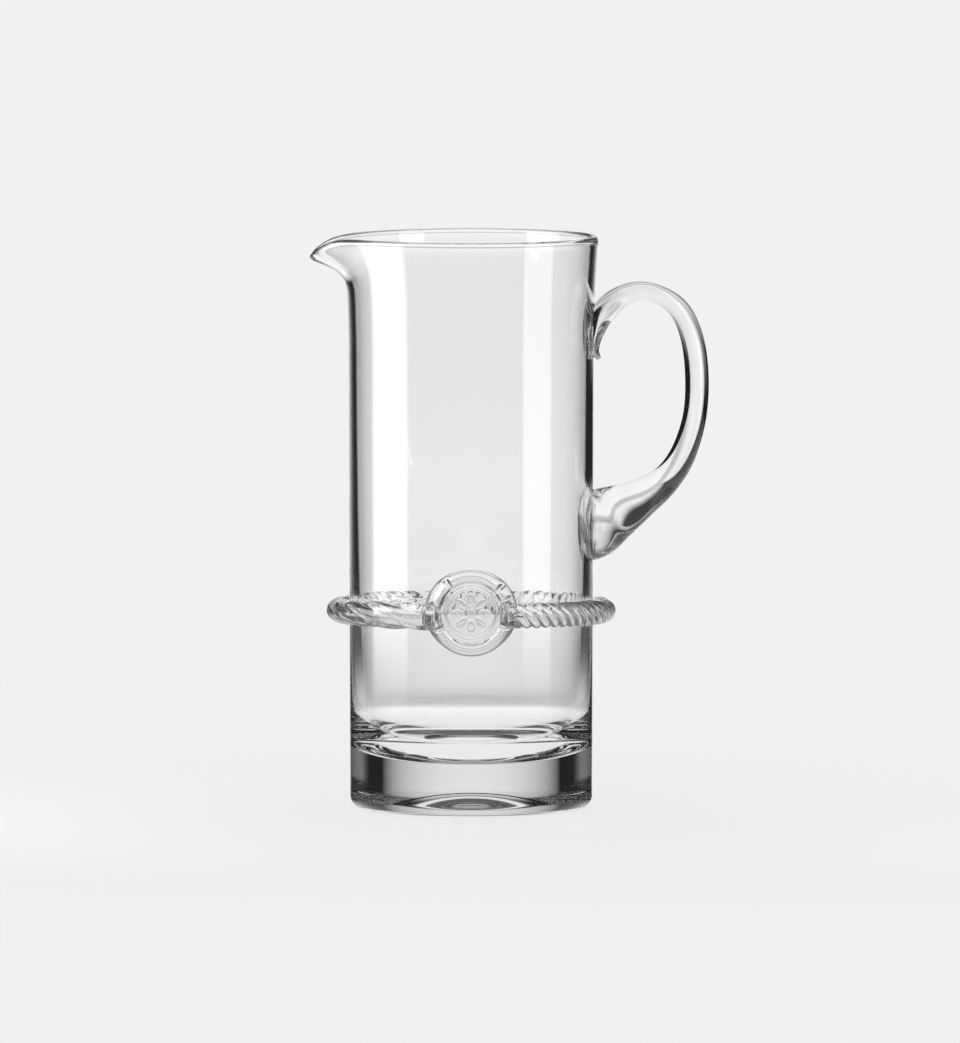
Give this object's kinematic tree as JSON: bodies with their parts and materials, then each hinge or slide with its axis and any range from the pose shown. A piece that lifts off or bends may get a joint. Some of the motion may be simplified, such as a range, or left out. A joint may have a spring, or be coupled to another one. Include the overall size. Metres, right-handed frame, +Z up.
{
  "type": "pitcher",
  "caption": "Tall cylindrical clear glass pitcher with a thick base, pulled spout, applied loop handle, twisted glass rope band and a round pressed seal on the front.",
  "frame": {"origin": "on the table, under the middle of the pitcher's overall box; the body's axis is 16 mm towards the spout from it", "axes": "+Z up, -X towards the spout, +X towards the handle, -Y out of the seal's face"},
  "size_m": [0.1674, 0.1188, 0.2399],
  "materials": {
    "blown_glass": "fire-polished clear glass",
    "pulled_glass": "hand-pulled clear glass with soft streaks",
    "twisted_glass": "ribbed and twisted clear glass cane",
    "pressed_glass": "stamped clear glass with a squeezed-out edge"
  },
  "bodies": {
    "root": {"vessel": "blown_glass", "handle": "pulled_glass", "rope_band": "twisted_glass", "seal": "pressed_glass"}
  },
  "joints": []
}
